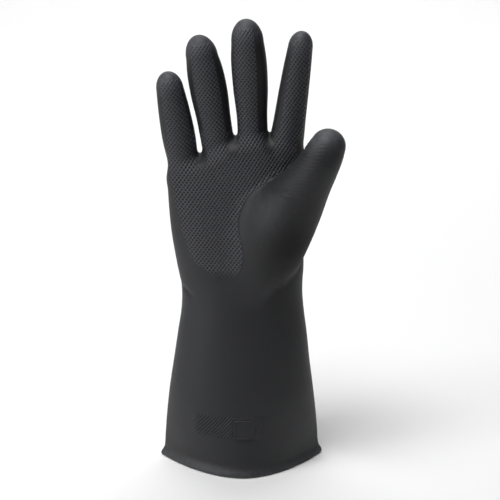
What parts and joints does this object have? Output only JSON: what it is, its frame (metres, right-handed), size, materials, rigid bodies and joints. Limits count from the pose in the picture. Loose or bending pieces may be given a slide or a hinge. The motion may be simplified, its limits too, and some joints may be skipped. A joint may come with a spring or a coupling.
{
  "type": "insulating glove",
  "caption": "Black rubber gauntlet glove for the right hand, with a flared cuff, gripping palm and bending fingers, thumb and wrist.",
  "frame": {"origin": "centre of the foot of the cuff rim, where the glove stands", "axes": "+Z along the arm to the fingertips, +X to the thumb side, -Y out of the palm, +Y out of the back of the hand"},
  "size_m": [0.1437, 0.1069, 0.3611],
  "materials": {
    "smooth_rubber": "smooth matt black dipped rubber",
    "rim_rubber": "matt black rubber, thickened and flared",
    "patch_rubber": "matt black rubber with raised slanting ribs",
    "grip_rubber": "matt black rubber with a raised diamond grip on the palm side"
  },
  "bodies": {
    "gauntlet": {"gauntlet": "smooth_rubber", "cuff_rim": "rim_rubber", "size_patch": "patch_rubber"},
    "hand": {"hand_shell": "grip_rubber"},
    "index_base": {"index_base": "grip_rubber"},
    "index_middle": {"index_middle": "grip_rubber"},
    "index_tip": {"index_tip": "grip_rubber"},
    "middle_base": {"middle_base": "grip_rubber"},
    "middle_middle": {"middle_middle": "grip_rubber"},
    "middle_tip": {"middle_tip": "grip_rubber"},
    "ring_base": {"ring_base": "grip_rubber"},
    "ring_middle": {"ring_middle": "grip_rubber"},
    "ring_tip": {"ring_tip": "grip_rubber"},
    "little_base": {"little_base": "grip_rubber"},
    "little_middle": {"little_middle": "grip_rubber"},
    "little_tip": {"little_tip": "grip_rubber"},
    "thumb_base": {"thumb_base": "grip_rubber"},
    "thumb_tip": {"thumb_tip": "grip_rubber"}
  },
  "joints": [
    {"name": "wrist_flex", "type": "hinge", "parent": "gauntlet", "child": "hand", "pos_m": [0, 0, 0.138], "axis": [1, 0, 0], "range_deg": [-30, 30], "stiffness_Nm_per_rad": 2},
    {"name": "index_base_flex", "type": "hinge", "parent": "hand", "child": "index_base", "pos_m": [0.0376, 0, 0.2825], "axis": [0.9917, 0, -0.1288], "range_deg": [-5, 50], "stiffness_Nm_per_rad": 0.06},
    {"name": "index_middle_flex", "type": "hinge", "parent": "index_base", "child": "index_middle", "pos_m": [0.04078, 0, 0.30699], "axis": [0.9917, 0, -0.1288], "range_deg": [0, 65], "stiffness_Nm_per_rad": 0.05},
    {"name": "index_tip_flex", "type": "hinge", "parent": "index_middle", "child": "index_tip", "pos_m": [0.04355, 0, 0.32832], "axis": [0.9917, 0, -0.1288], "range_deg": [0, 40], "stiffness_Nm_per_rad": 0.03},
    {"name": "middle_base_flex", "type": "hinge", "parent": "hand", "child": "middle_base", "pos_m": [0.0086, 0, 0.2825], "axis": [0.999, 0, 0.0454], "range_deg": [-5, 50], "stiffness_Nm_per_rad": 0.06},
    {"name": "middle_middle_flex", "type": "hinge", "parent": "middle_base", "child": "middle_middle", "pos_m": [0.00735, 0, 0.30997], "axis": [0.999, 0, 0.0454], "range_deg": [0, 65], "stiffness_Nm_per_rad": 0.05},
    {"name": "middle_tip_flex", "type": "hinge", "parent": "middle_middle", "child": "middle_tip", "pos_m": [0.00626, 0, 0.33395], "axis": [0.999, 0, 0.0454], "range_deg": [0, 40], "stiffness_Nm_per_rad": 0.03},
    {"name": "ring_base_flex", "type": "hinge", "parent": "hand", "child": "ring_base", "pos_m": [-0.0205, 0, 0.2805], "axis": [0.9874, 0, 0.1582], "range_deg": [-5, 50], "stiffness_Nm_per_rad": 0.06},
    {"name": "ring_middle_flex", "type": "hinge", "parent": "ring_base", "child": "ring_middle", "pos_m": [-0.02439, 0, 0.30479], "axis": [0.9874, 0, 0.1582], "range_deg": [0, 65], "stiffness_Nm_per_rad": 0.05},
    {"name": "ring_tip_flex", "type": "hinge", "parent": "ring_middle", "child": "ring_tip", "pos_m": [-0.02778, 0, 0.32592], "axis": [0.9874, 0, 0.1582], "range_deg": [0, 40], "stiffness_Nm_per_rad": 0.03},
    {"name": "little_base_flex", "type": "hinge", "parent": "hand", "child": "little_base", "pos_m": [-0.0474, 0, 0.2658], "axis": [0.9869, 0, 0.1616], "range_deg": [-5, 50], "stiffness_Nm_per_rad": 0.06},
    {"name": "little_middle_flex", "type": "hinge", "parent": "little_base", "child": "little_middle", "pos_m": [-0.05055, 0, 0.28504], "axis": [0.9869, 0, 0.1616], "range_deg": [0, 65], "stiffness_Nm_per_rad": 0.05},
    {"name": "little_tip_flex", "type": "hinge", "parent": "little_middle", "child": "little_tip", "pos_m": [-0.05333, 0, 0.30202], "axis": [0.9869, 0, 0.1616], "range_deg": [0, 40], "stiffness_Nm_per_rad": 0.03},
    {"name": "thumb_base_flex", "type": "hinge", "parent": "hand", "child": "thumb_base", "pos_m": [0.055, -0.043, 0.243], "axis": [0.8003, -0.4621, -0.3821], "range_deg": [-10, 15], "stiffness_Nm_per_rad": 0.08},
    {"name": "thumb_tip_flex", "type": "hinge", "parent": "thumb_base", "child": "thumb_tip", "pos_m": [0.0616, -0.0448, 0.259], "axis": [0.8327, -0.4808, -0.2747], "range_deg": [-5, 30], "stiffness_Nm_per_rad": 0.05}
  ]
}
